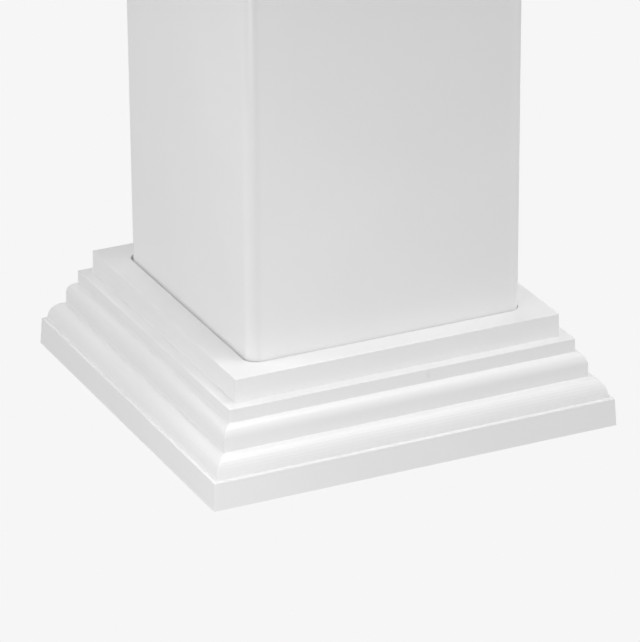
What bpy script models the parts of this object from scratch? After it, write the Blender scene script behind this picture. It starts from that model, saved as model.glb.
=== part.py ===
"""Square column wrap: a hollow sleeve with rounded corners, standing in a stepped base trim.

Metres, +Z up. Both pieces stand on z = 0, and the trim is centred on the Z axis.
The front is towards -Y.
"""

import math

import bmesh
import bpy

# Sleeve
SLEEVE_WIDTH = 0.2032
SLEEVE_HEIGHT = 1.000
SLEEVE_WALL = 0.0038
SLEEVE_CORNER_RADIUS = 0.0095
SLEEVE_CORNER_STEPS = 10

# Play between the sleeve and the trim's opening, which the sleeve doesn't fill evenly
CLOSE_GAP = 0.0004
WIDE_GAP = 0.0016

# Members of the trim, from the opening outward and from the top down
COLLAR_TOP_WIDTH = 0.0180
COLLAR_FACE_HEIGHT = 0.0168
STEP_TOP_WIDTH = 0.0080
STEP_FACE_HEIGHT = 0.0096
NOSE_RADIUS = 0.0084
NOSE_REACH = 0.0066
NOSE_FACE_HEIGHT = 0.0089
OVOLO_REACH = 0.0105
OVOLO_DROP = 0.0139
FILLET_WIDTH = 0.0030
PLINTH_HEIGHT = 0.0196

# Draft of the trim's upright faces, which lean outward towards the ground
FACE_DRAFT = math.radians(1.0)
PLINTH_DRAFT = math.radians(3.4)

# The trim is a moulded shell, open below
TRIM_WALL = 0.0030
TRIM_EDGE_RADIUS = 0.0005
TRIM_EDGE_STEPS = 3
TRIM_MITRE_RADIUS = 0.0006
TRIM_CORNER_STEPS = 8
ROUND_STEPS = 9

# Facets that meet at less than this angle are shaded as one surface
SMOOTH_ANGLE = math.radians(35)

WHITE_VINYL = (0.84, 0.84, 0.84, 1.0)
SLEEVE_ROUGHNESS = 0.42
TRIM_ROUGHNESS = 0.38


def clear_scene():
    for obj in list(bpy.data.objects):
        bpy.data.objects.remove(obj, do_unlink=True)


def make_material(name, colour, roughness):
    material = bpy.data.materials.new(name)
    material.use_nodes = True
    shader = material.node_tree.nodes["Principled BSDF"]
    shader.inputs["Base Color"].default_value = colour
    shader.inputs["Roughness"].default_value = roughness
    shader.inputs["Metallic"].default_value = 0.0
    return material


def square_ring(half_width, corner_radius, corner_steps):
    """Plan points of a square with rounded corners, counter-clockwise, centred on the origin."""
    inset = half_width - corner_radius
    points = []
    for quarter in range(4):
        turn = quarter * math.pi / 2
        centre_x = inset * (math.cos(turn) - math.sin(turn))
        centre_y = inset * (math.sin(turn) + math.cos(turn))
        for step in range(corner_steps + 1):
            angle = turn + step / corner_steps * math.pi / 2
            x = centre_x + corner_radius * math.cos(angle)
            y = centre_y + corner_radius * math.sin(angle)
            points.append((x, y))
    return points


def sweep_round_square(name, section, corner_steps, material):
    """Solid swept round a square. The section is a closed loop of (half width, corner radius, height)."""
    mesh_builder = bmesh.new()
    rings = []
    for half_width, corner_radius, height in section:
        plan = square_ring(half_width, corner_radius, corner_steps)
        rings.append([mesh_builder.verts.new((x, y, height)) for x, y in plan])
    for ring, next_ring in zip(rings, rings[1:] + rings[:1]):
        for index in range(len(ring)):
            after = (index + 1) % len(ring)
            mesh_builder.faces.new((ring[index], ring[after], next_ring[after], next_ring[index]))
    bmesh.ops.recalc_face_normals(mesh_builder, faces=mesh_builder.faces)
    mesh = bpy.data.meshes.new(name)
    mesh_builder.to_mesh(mesh)
    mesh_builder.free()
    mesh.shade_smooth()
    mesh.set_sharp_from_angle(angle=SMOOTH_ANGLE)
    mesh.materials.append(material)
    obj = bpy.data.objects.new(name, mesh)
    bpy.context.scene.collection.objects.link(obj)
    return obj


def arc_points(centre, radius_out, radius_up, start_angle):
    """Points of an elliptical arc about its centre, from start_angle down to where it stands upright."""
    points = []
    for step in range(ROUND_STEPS + 1):
        angle = start_angle * (1 - step / ROUND_STEPS)
        points.append((centre[0] + radius_out * math.cos(angle), centre[1] + radius_up * math.sin(angle)))
    return points


def nose_round(start):
    """Round that leaves the face above it at a slope and turns upright."""
    start_angle = math.acos((NOSE_RADIUS - NOSE_REACH) / NOSE_RADIUS)
    centre = (start[0] + NOSE_REACH - NOSE_RADIUS, start[1] - nose_drop())
    return arc_points(centre, NOSE_RADIUS, NOSE_RADIUS, start_angle)


def ovolo_round(start):
    """Quarter of an ellipse that leaves the face above it level and turns upright."""
    return arc_points((start[0], start[1] - OVOLO_DROP), OVOLO_REACH, OVOLO_DROP, math.pi / 2)


def face_below(start, height, draft):
    """Foot of an upright face that leans outward by the draft angle."""
    return (start[0] + height * math.tan(draft), start[1] - height)


def nose_drop():
    return math.sqrt(NOSE_RADIUS ** 2 - (NOSE_RADIUS - NOSE_REACH) ** 2)


def trim_height():
    faces = COLLAR_FACE_HEIGHT + STEP_FACE_HEIGHT + NOSE_FACE_HEIGHT + PLINTH_HEIGHT
    return faces + nose_drop() + OVOLO_DROP


def trim_opening_half():
    return (SLEEVE_WIDTH + CLOSE_GAP + WIDE_GAP) / 2


def trim_outline():
    """Outer outline of the trim as (distance out, height), and the places of its crisp outer corners."""
    opening = (trim_opening_half(), trim_height())
    collar_edge = (opening[0] + COLLAR_TOP_WIDTH, opening[1])
    collar_foot = face_below(collar_edge, COLLAR_FACE_HEIGHT, FACE_DRAFT)
    step_edge = (collar_foot[0] + STEP_TOP_WIDTH, collar_foot[1])
    step_foot = face_below(step_edge, STEP_FACE_HEIGHT, FACE_DRAFT)
    nose = nose_round(step_foot)
    nose_foot = face_below(nose[-1], NOSE_FACE_HEIGHT, FACE_DRAFT)
    ovolo = ovolo_round(nose_foot)
    plinth_edge = (ovolo[-1][0] + FILLET_WIDTH, ovolo[-1][1])
    plinth_foot = face_below(plinth_edge, PLINTH_HEIGHT, PLINTH_DRAFT)
    outline = [opening, collar_edge, collar_foot, step_edge, *nose, *ovolo, plinth_edge, plinth_foot]
    return outline, {collar_edge, step_edge, plinth_edge}


def direction(start, end):
    length = math.dist(start, end)
    return ((end[0] - start[0]) / length, (end[1] - start[1]) / length)


def rounded_corner(before, corner, after, radius, steps):
    """Points of an arc that touches both lines of a corner."""
    into = direction(before, corner)
    out = direction(corner, after)
    turn = math.atan2(into[0] * out[1] - into[1] * out[0], into[0] * out[0] + into[1] * out[1])
    side = math.copysign(1.0, turn)
    setback = radius * math.tan(abs(turn) / 2)
    start = (corner[0] - into[0] * setback, corner[1] - into[1] * setback)
    centre = (start[0] - into[1] * radius * side, start[1] + into[0] * radius * side)
    first = math.atan2(start[1] - centre[1], start[0] - centre[0])
    points = []
    for step in range(steps + 1):
        angle = first + turn * step / steps
        points.append((centre[0] + radius * math.cos(angle), centre[1] + radius * math.sin(angle)))
    return points


def soften(outline, corners, radius, steps):
    points = [outline[0]]
    for before, corner, after in zip(outline, outline[1:], outline[2:]):
        if corner in corners:
            points.extend(rounded_corner(before, corner, after, radius, steps))
        else:
            points.append(corner)
    points.append(outline[-1])
    return points


def inner_outline(outline, wall):
    """The outline moved in by the wall, with its ends kept at the opening and on the ground."""
    normals = []
    for start, end in zip(outline, outline[1:]):
        along = direction(start, end)
        normals.append((-along[1], along[0]))
    points = [(outline[0][0], outline[0][1] - wall)]
    for corner, first, second in zip(outline[1:], normals, normals[1:]):
        share = wall / (1 + first[0] * second[0] + first[1] * second[1])
        points.append((corner[0] - (first[0] + second[0]) * share, corner[1] - (first[1] + second[1]) * share))
    last = outline[-1]
    points.append((last[0] - wall / normals[-1][0], last[1]))
    return points


def make_sleeve():
    outer = SLEEVE_WIDTH / 2
    inner = outer - SLEEVE_WALL
    inner_radius = max(SLEEVE_CORNER_RADIUS - SLEEVE_WALL, SLEEVE_WALL / 4)
    section = [
        (outer, SLEEVE_CORNER_RADIUS, 0.0),
        (outer, SLEEVE_CORNER_RADIUS, SLEEVE_HEIGHT),
        (inner, inner_radius, SLEEVE_HEIGHT),
        (inner, inner_radius, 0.0),
    ]
    material = make_material("sleeve_white_vinyl", WHITE_VINYL, SLEEVE_ROUGHNESS)
    sleeve = sweep_round_square("column_sleeve", section, SLEEVE_CORNER_STEPS, material)
    shift = (WIDE_GAP - CLOSE_GAP) / 2
    sleeve.location = (shift, -shift, 0.0)
    return sleeve


def make_base_trim():
    """The opening's corners are rounded like the sleeve's, and the trim's outer corners are crisp mitres."""
    outline, crisp_corners = trim_outline()
    outer = soften(outline, crisp_corners, TRIM_EDGE_RADIUS, TRIM_EDGE_STEPS)
    inner = inner_outline(outline, TRIM_WALL)
    section = []
    for out, height in outer + inner[::-1]:
        at_opening = out == trim_opening_half()
        section.append((out, SLEEVE_CORNER_RADIUS if at_opening else TRIM_MITRE_RADIUS, height))
    material = make_material("trim_white_vinyl", WHITE_VINYL, TRIM_ROUGHNESS)
    return sweep_round_square("base_trim", section, TRIM_CORNER_STEPS, material)


clear_scene()
make_sleeve()
make_base_trim()
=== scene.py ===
"""Studio picture of the square column wrap: a white satin vinyl sleeve in a stepped base trim."""

import math

import bpy
from mathutils import Matrix, Vector

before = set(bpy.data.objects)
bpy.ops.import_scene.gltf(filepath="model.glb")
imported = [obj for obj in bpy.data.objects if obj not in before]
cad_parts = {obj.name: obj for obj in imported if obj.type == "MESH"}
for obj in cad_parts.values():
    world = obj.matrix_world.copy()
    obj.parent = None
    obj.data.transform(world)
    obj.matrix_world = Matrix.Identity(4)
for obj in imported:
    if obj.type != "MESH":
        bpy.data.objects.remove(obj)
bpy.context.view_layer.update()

# Camera, placed from the photograph's outline: angles in degrees, the rest in metres
CAMERA_YAW = 25.35
CAMERA_PITCH = 24.01
CAMERA_ROLL = -0.39
CAMERA_LENS_MM = 246.7
SENSOR_WIDTH_MM = 36.0
ORIGIN_FROM_CAMERA = (0.00169, 0.04310, 3.06425)
CAMERA_NEAR = 0.05
CAMERA_FAR = 80.0

# The pale surroundings are one even tone, as in the photograph, and light nothing. Two floors that the
# camera doesn't see stand in for the studio's own: a glowing square sends light up to the foot of the
# column, and a dark one keeps the fill light above the horizon.
STUDIO_HALF_SIZE = 25.0
STUDIO_GREY = 0.9216
GLOW_HALF_SIZE = 0.85
GLOW_DEPTH = 0.0003
DARK_DEPTH = 0.0006
GLOW_GREY = 0.616
FILL_GREY = 0.193
BLACK = (0.0, 0.0, 0.0, 1.0)
WHITE = (1.0, 1.0, 1.0, 1.0)

# Soft square panels: name, compass angle from the front towards the right, elevation, distance, size,
# power and the height that they face on the column's axis
PANELS = (
    ("high_left_panel", -65.0, 65.0, 1.90, 0.90, 6.00, 0.15),
    ("high_right_panel", 38.0, 70.0, 1.90, 0.90, 15.50, 0.15),
    ("left_panel", -110.0, 15.0, 1.00, 0.50, 3.95, 0.45),
    ("back_panel", 165.0, 50.0, 1.90, 0.90, 10.00, 0.35),
    ("low_right_panel", 60.0, 12.0, 1.90, 0.90, 11.50, 0.15),
    ("low_left_panel", -45.0, 8.0, 0.75, 0.30, 1.290, 0.06),
    ("low_front_panel", -25.0, 8.0, 0.75, 0.30, 0.240, 0.06),
)

# The value of a noise lies mostly between these two
NOISE_LOW = 0.3
NOISE_HIGH = 0.7

# Satin white vinyl, with lengths in metres
VINYL_WHITE = (0.848, 0.848, 0.846, 1.0)
VINYL_SHADE = (0.831, 0.832, 0.834, 1.0)
# Lighter white for edges and inner corners: part rubbed wear, part painted highlight
WEAR_AND_HIGHLIGHT_WHITE = (0.860, 0.860, 0.858, 1.0)
VINYL_IOR = 1.50
MOTTLE_SIZE = 0.085
MOTTLE_DETAIL = 4.0
STREAK_WIDTH = 0.0070
STREAK_LENGTH = 0.60
STREAK_ROUGHNESS = 0.02
STRETCHED_DETAIL = 1.0
GRAIN_SIZE = 0.0030
GRAIN_HEIGHT = 0.000002
GRAIN_DETAIL = 0.0

# Rubbed crisp edges and painted highlight: a lighter white on crisp edges, part rubbed wear and part
# painted highlight where it lightens inner corners. It grows as the likeness of the rounded normal and the
# true one falls from the first value below to the second. The patches vary it from a least share to all of
# it.
WEAR_AND_HIGHLIGHT_WIDTH = 0.0012
WEAR_AND_HIGHLIGHT_SHARE = 0.5
WEAR_AND_HIGHLIGHT_SAMPLES = 4
WEAR_AND_HIGHLIGHT_FROM_LIKENESS = 0.98
WEAR_AND_HIGHLIGHT_TO_LIKENESS = 0.80
WEAR_AND_HIGHLIGHT_PATCH_SIZE = 0.0090
WEAR_AND_HIGHLIGHT_PATCH_DETAIL = 2.0
WEAR_AND_HIGHLIGHT_PATCH_LOW = 0.35
WEAR_AND_HIGHLIGHT_PATCH_HIGH = 0.65
WEAR_AND_HIGHLIGHT_PATCH_LEAST = 0.2

# How the two pieces differ: roughness and its spread, then width, length and height of slow waves.
# A spread of 0.06 gave the render a hard-edged dark patch on the trim's step.
SLEEVE_FINISH = (0.34, 0.04, 0.050, 0.250, 0.00010)
TRIM_FINISH = (0.34, 0.04, 0.018, 0.060, 0.00005)

# Small grey scuff on the front of the trim's step: centre, half width, half height, colour, strength
SCUFF_CENTRE = (0.0172, -0.1290, 0.0556)
SCUFF_HALF_WIDTH = 0.0018
SCUFF_HALF_HEIGHT = 0.0034
SCUFF_GREY = (0.62, 0.62, 0.61, 1.0)
SCUFF_SHARE = 0.25

# The scuff starts to fade and is gone at these distances from its centre, counted in its half sizes
SCUFF_FADE_START = 0.2
SCUFF_FADE_END = 1.3

# How far large flats outweigh the facets of rounded edges when the two meet in a smooth normal
FLATS_WEIGHT = 100


def camera_matrix():
    yaw, pitch, roll = (math.radians(angle) for angle in (CAMERA_YAW, CAMERA_PITCH, CAMERA_ROLL))
    forward = Vector((
        math.sin(yaw) * math.cos(pitch),
        math.cos(yaw) * math.cos(pitch),
        -math.sin(pitch),
    ))
    level_right = Vector((math.cos(yaw), -math.sin(yaw), 0.0))
    level_up = level_right.cross(forward)
    right = math.cos(roll) * level_right + math.sin(roll) * level_up
    up = -math.sin(roll) * level_right + math.cos(roll) * level_up
    across, down, ahead = ORIGIN_FROM_CAMERA
    matrix = Matrix((right, up, -forward)).transposed().to_4x4()
    matrix.translation = -(right * across - up * down + forward * ahead)
    return matrix


def add_camera():
    data = bpy.data.cameras.new("camera")
    data.lens = CAMERA_LENS_MM
    data.sensor_width = SENSOR_WIDTH_MM
    data.sensor_fit = "AUTO"
    data.clip_start = CAMERA_NEAR
    data.clip_end = CAMERA_FAR
    camera = bpy.data.objects.new("camera", data)
    camera.matrix_world = camera_matrix()
    bpy.context.scene.collection.objects.link(camera)
    bpy.context.scene.camera = camera


def add_stage_mesh(name, corners, faces, material):
    mesh = bpy.data.meshes.new(name)
    mesh.from_pydata(corners, [], faces)
    mesh.materials.append(material)
    obj = bpy.data.objects.new(name, mesh)
    bpy.context.scene.collection.objects.link(obj)
    return obj


def square_corners(half, height):
    return [(-half, -half, height), (half, -half, height), (half, half, height), (-half, half, height)]


def make_even_material(name, grey):
    material = bpy.data.materials.new(name)
    material.use_nodes = True
    shader = material.node_tree.nodes["Principled BSDF"]
    shader.inputs["Base Color"].default_value = BLACK
    shader.inputs["Specular IOR Level"].default_value = 0.0
    shader.inputs["Emission Color"].default_value = WHITE
    shader.inputs["Emission Strength"].default_value = grey
    return material


def add_surroundings():
    """A pale floor, walls and ceiling for the camera alone, and two floors for the light alone."""
    corners = square_corners(STUDIO_HALF_SIZE, 0.0) + square_corners(STUDIO_HALF_SIZE, STUDIO_HALF_SIZE)
    walls = [(side, (side + 1) % 4, (side + 1) % 4 + 4, side + 4) for side in range(4)]
    even = make_even_material("even_pale", STUDIO_GREY)
    floor = add_stage_mesh("floor", corners[:4], [(0, 1, 2, 3)], even)
    backdrop = add_stage_mesh("backdrop", corners, walls + [(4, 5, 6, 7)], even)
    for obj in (floor, backdrop):
        obj.visible_diffuse = False
        obj.visible_glossy = False
        obj.visible_shadow = False
    for name, half, depth, grey in (
        ("floor_glow", GLOW_HALF_SIZE, GLOW_DEPTH, GLOW_GREY),
        ("floor_dark", STUDIO_HALF_SIZE, DARK_DEPTH, 0.0),
    ):
        material = make_even_material(name, grey)
        hidden_floor = add_stage_mesh(name, square_corners(half, -depth), [(0, 1, 2, 3)], material)
        hidden_floor.visible_camera = False


def add_fill_light():
    world = bpy.data.worlds.new("fill_light")
    world.use_nodes = True
    shader = world.node_tree.nodes["Background"]
    shader.inputs["Color"].default_value = (FILL_GREY, FILL_GREY, FILL_GREY, 1.0)
    shader.inputs["Strength"].default_value = 1.0
    bpy.context.scene.world = world


def add_panel(name, angle, elevation, distance, size, power, aim_height):
    turn, rise = math.radians(angle), math.radians(elevation)
    away = Vector((
        math.sin(turn) * math.cos(rise),
        -math.cos(turn) * math.cos(rise),
        math.sin(rise),
    ))
    data = bpy.data.lights.new(name, "AREA")
    data.shape = "SQUARE"
    data.size = size
    data.energy = power
    panel = bpy.data.objects.new(name, data)
    panel.matrix_world = away.to_track_quat("Z", "Y").to_matrix().to_4x4()
    panel.location = Vector((0.0, 0.0, aim_height)) + away * distance
    panel.visible_camera = False
    bpy.context.scene.collection.objects.link(panel)


class Nodes:
    """Short calls that add shader nodes to one material and join them."""

    def __init__(self, material):
        self.tree = material.node_tree

    def add(self, kind, inputs, **settings):
        node = self.tree.nodes.new(kind)
        for name, value in settings.items():
            setattr(node, name, value)
        for socket, value in inputs.items():
            self.feed(node.inputs[socket], value)
        return node

    def feed(self, socket, value):
        if isinstance(value, bpy.types.NodeSocket):
            self.tree.links.new(value, socket)
        else:
            socket.default_value = value

    def math(self, operation, first, second=0.0):
        return self.add("ShaderNodeMath", {0: first, 1: second}, operation=operation).outputs[0]

    def vector_math(self, operation, first, second, output="Vector"):
        node = self.add("ShaderNodeVectorMath", {0: first, 1: second}, operation=operation)
        return node.outputs[output]

    def noise(self, vector, scale, detail):
        inputs = {"Vector": vector, "Scale": scale, "Detail": detail}
        return self.add("ShaderNodeTexNoise", inputs).outputs["Fac"]

    def remap(self, value, start, end, to_start, to_end):
        inputs = {
            "Value": value,
            "From Min": start,
            "From Max": end,
            "To Min": to_start,
            "To Max": to_end,
        }
        return self.add("ShaderNodeMapRange", inputs).outputs["Result"]

    # The Mix node takes numbers at its sockets 2 and 3, and colours at 6 and 7
    def blend_numbers(self, share, first, second):
        return self.add("ShaderNodeMix", {0: share, 2: first, 3: second}, data_type="FLOAT").outputs[0]

    def blend_colours(self, share, first, second):
        return self.add("ShaderNodeMix", {0: share, 6: first, 7: second}, data_type="RGBA").outputs[2]

    def bump(self, height, distance, normal=None):
        inputs = {"Height": height, "Distance": distance, "Strength": 1.0}
        if normal is not None:
            inputs["Normal"] = normal
        return self.add("ShaderNodeBump", inputs).outputs["Normal"]


def position_on_piece(nodes):
    return nodes.add("ShaderNodeTexCoord", {}).outputs["Object"]


def along_trim(nodes, position):
    """Distance out from the axis, height and distance along the side, for the trim's four mitred sides."""
    x, y, z = nodes.add("ShaderNodeSeparateXYZ", {0: position}).outputs
    out_x = nodes.math("ABSOLUTE", x)
    out_y = nodes.math("ABSOLUTE", y)
    runs_along_x = nodes.math("GREATER_THAN", out_y, out_x)
    along = nodes.blend_numbers(runs_along_x, y, x)
    out = nodes.math("MAXIMUM", out_x, out_y)
    return nodes.add("ShaderNodeCombineXYZ", {0: out, 1: z, 2: along}).outputs[0]


def stretched_noise(nodes, lengthwise, width, length):
    """Noise drawn out along the third axis, which runs along the piece."""
    scale = (1.0 / width, 1.0 / width, 1.0 / length)
    return nodes.noise(nodes.vector_math("MULTIPLY", lengthwise, scale), 1.0, STRETCHED_DETAIL)


def edge_wear_and_highlight(nodes, position):
    """Share of lighter white, part rubbed wear and part painted highlight: most on crisp edges and inner
    corners and none on flats, broken up as handling does.
    """
    bevel = nodes.add("ShaderNodeBevel", {"Radius": WEAR_AND_HIGHLIGHT_WIDTH}, samples=WEAR_AND_HIGHLIGHT_SAMPLES).outputs["Normal"]
    facing = nodes.add("ShaderNodeNewGeometry", {}).outputs["Normal"]
    likeness = nodes.vector_math("DOT_PRODUCT", bevel, facing, "Value")
    edge = nodes.remap(likeness, WEAR_AND_HIGHLIGHT_FROM_LIKENESS, WEAR_AND_HIGHLIGHT_TO_LIKENESS, 0.0, WEAR_AND_HIGHLIGHT_SHARE)
    noise = nodes.noise(position, 1.0 / WEAR_AND_HIGHLIGHT_PATCH_SIZE, WEAR_AND_HIGHLIGHT_PATCH_DETAIL)
    patches = nodes.remap(noise, WEAR_AND_HIGHLIGHT_PATCH_LOW, WEAR_AND_HIGHLIGHT_PATCH_HIGH, WEAR_AND_HIGHLIGHT_PATCH_LEAST, 1.0)
    return nodes.math("MULTIPLY", edge, patches)


def scuff(nodes, position):
    """Share of the scuff's grey at a point, fading from its centre."""
    offset = nodes.vector_math("SUBTRACT", position, SCUFF_CENTRE)
    scale = (1.0 / SCUFF_HALF_WIDTH, 1.0 / SCUFF_HALF_HEIGHT, 1.0 / SCUFF_HALF_HEIGHT)
    away = nodes.vector_math("LENGTH", nodes.vector_math("MULTIPLY", offset, scale), (0, 0, 0), "Value")
    return nodes.remap(away, SCUFF_FADE_START, SCUFF_FADE_END, SCUFF_SHARE, 0.0)


def make_satin_vinyl(name, finish, is_trim):
    roughness, spread, wave_width, wave_length, wave_height = finish
    material = bpy.data.materials.new(name)
    material.use_nodes = True
    nodes = Nodes(material)
    position = position_on_piece(nodes)
    lengthwise = along_trim(nodes, position) if is_trim else position
    mottle = nodes.noise(position, 1.0 / MOTTLE_SIZE, MOTTLE_DETAIL)
    streaks = stretched_noise(nodes, lengthwise, STREAK_WIDTH, STREAK_LENGTH)
    waves = stretched_noise(nodes, lengthwise, wave_width, wave_length)
    grain = nodes.noise(position, 1.0 / GRAIN_SIZE, GRAIN_DETAIL)
    wear_and_highlight = edge_wear_and_highlight(nodes, position)

    whiteness = nodes.remap(mottle, NOISE_LOW, NOISE_HIGH, 0.0, 1.0)
    colour = nodes.blend_colours(whiteness, VINYL_SHADE, VINYL_WHITE)
    # Lighter white on edges and inner corners: part rubbed wear, part painted highlight
    colour = nodes.blend_colours(wear_and_highlight, colour, WEAR_AND_HIGHLIGHT_WHITE)
    if is_trim:
        colour = nodes.blend_colours(scuff(nodes, position), colour, SCUFF_GREY)
    patchy = nodes.remap(mottle, NOISE_LOW, NOISE_HIGH, roughness + spread, roughness - spread)
    streaky = nodes.remap(streaks, NOISE_LOW, NOISE_HIGH, -STREAK_ROUGHNESS, STREAK_ROUGHNESS)
    normal = nodes.bump(waves, wave_height)
    normal = nodes.bump(grain, GRAIN_HEIGHT, normal)

    shader = material.node_tree.nodes["Principled BSDF"]
    shader.inputs["IOR"].default_value = VINYL_IOR
    nodes.feed(shader.inputs["Base Color"], colour)
    nodes.feed(shader.inputs["Roughness"], nodes.math("ADD", patchy, streaky))
    nodes.feed(shader.inputs["Normal"], normal)
    return material


def dress(node_name, material):
    """Gives a CAD node its finish, and shades its flats as flat right up to their rounded edges."""
    piece = bpy.data.objects[node_name]
    piece.material_slots[0].material = material
    flats = piece.modifiers.new("flats", "WEIGHTED_NORMAL")
    flats.mode = "FACE_AREA"
    flats.weight = FLATS_WEIGHT
    flats.keep_sharp = True


add_camera()
add_surroundings()
add_fill_light()
for panel in PANELS:
    add_panel(*panel)
dress("column_sleeve", make_satin_vinyl("sleeve_satin_vinyl", SLEEVE_FINISH, False))
dress("base_trim", make_satin_vinyl("trim_satin_vinyl", TRIM_FINISH, True))
bpy.context.scene.view_settings.view_transform = "Standard"
